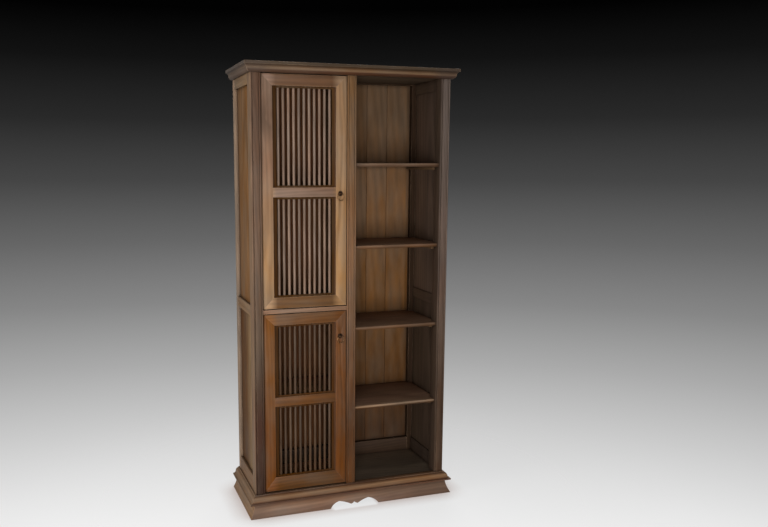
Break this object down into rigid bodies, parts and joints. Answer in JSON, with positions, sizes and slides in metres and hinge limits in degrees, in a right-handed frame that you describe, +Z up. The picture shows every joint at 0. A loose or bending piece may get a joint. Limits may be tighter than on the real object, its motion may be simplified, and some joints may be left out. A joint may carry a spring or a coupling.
{
  "type": "chinese book cabinet",
  "caption": "Tall wooden book cabinet with moulded cornice and scalloped foot: spindle doors over one bay, open shelves in the other, framed and panelled sides.",
  "frame": {"origin": "on the floor, in the middle of the rectangle that the foot and cornice cover", "axes": "+Z up, +Y from the front to the back, +X to the right as seen from the front"},
  "size_m": [0.99, 0.4, 2],
  "materials": {
    "frame_wood": "satin oiled hardwood, greyish brown",
    "panel_wood": "satin oiled hardwood, mid brown",
    "moulding_wood": "satin oiled hardwood, brown",
    "upper_door_wood": "satin oiled hardwood, tan",
    "lower_door_wood": "satin oiled hardwood, orange brown",
    "inner_wood": "oiled hardwood, brown",
    "back_wood": "oiled hardwood boards of mixed brown",
    "pivot_wood": "turned hardwood, waxed",
    "pull_bronze": "aged dark bronze-coloured iron"
  },
  "bodies": {
    "cabinet": {"front_left_post": "frame_wood", "front_right_post": "frame_wood", "rear_left_post": "frame_wood", "rear_right_post": "frame_wood", "centre_post": "frame_wood", "partition": "inner_wood", "left_top_rail": "frame_wood", "left_middle_rail": "frame_wood", "left_bottom_rail": "frame_wood", "right_top_rail": "frame_wood", "right_middle_rail": "frame_wood", "right_bottom_rail": "frame_wood", "left_upper_panel": "panel_wood", "left_lower_panel": "panel_wood", "right_upper_panel": "panel_wood", "right_lower_panel": "panel_wood", "front_top_rail": "frame_wood", "front_bottom_rail": "frame_wood", "rear_top_rail": "frame_wood", "rear_bottom_rail": "frame_wood", "divider_rail": "frame_wood", "top_board": "inner_wood", "floor_board": "inner_wood", "divider_board": "inner_wood", "back_boards": "back_wood", "right_shelf_1": "inner_wood", "right_shelf_2": "inner_wood", "right_shelf_3": "inner_wood", "right_shelf_4": "inner_wood", "upper_cupboard_shelf": "inner_wood", "lower_cupboard_shelf": "inner_wood", "shelf_cleats": "inner_wood", "cornice_front": "moulding_wood", "cornice_left": "moulding_wood", "cornice_right": "moulding_wood", "base_moulding_front": "moulding_wood", "base_moulding_left": "moulding_wood", "base_moulding_right": "moulding_wood", "plinth_front": "moulding_wood", "plinth_left": "moulding_wood", "plinth_right": "moulding_wood", "door_stops": "inner_wood"},
    "upper_door": {"upper_door_left_stile": "upper_door_wood", "upper_door_right_stile": "upper_door_wood", "upper_door_top_rail": "upper_door_wood", "upper_door_middle_rail": "upper_door_wood", "upper_door_bottom_rail": "upper_door_wood", "upper_door_spindles": "upper_door_wood", "upper_door_pivots": "pivot_wood", "upper_pull_eye": "pull_bronze"},
    "lower_door": {"lower_door_left_stile": "lower_door_wood", "lower_door_right_stile": "lower_door_wood", "lower_door_top_rail": "lower_door_wood", "lower_door_middle_rail": "lower_door_wood", "lower_door_bottom_rail": "lower_door_wood", "lower_door_spindles": "lower_door_wood", "lower_door_pivots": "pivot_wood", "lower_pull_eye": "pull_bronze"},
    "upper_ring": {"upper_ring": "pull_bronze"},
    "lower_ring": {"lower_ring": "pull_bronze"}
  },
  "joints": [
    {"name": "upper_door_hinge", "type": "hinge", "parent": "cabinet", "child": "upper_door", "pos_m": [-0.406, -0.151, 1.451], "axis": [0, 0, -1], "range_deg": [0, 95]},
    {"name": "lower_door_hinge", "type": "hinge", "parent": "cabinet", "child": "lower_door", "pos_m": [-0.406, -0.151, 0.5145], "axis": [0, 0, -1], "range_deg": [0, 95]},
    {"name": "upper_ring_swing", "type": "hinge", "parent": "upper_door", "child": "upper_ring", "pos_m": [-0.062, -0.171, 1.449], "axis": [-1, 0, 0], "range_deg": [-12, 190]},
    {"name": "lower_ring_swing", "type": "hinge", "parent": "lower_door", "child": "lower_ring", "pos_m": [-0.062, -0.171, 0.807], "axis": [-1, 0, 0], "range_deg": [-12, 190]}
  ]
}
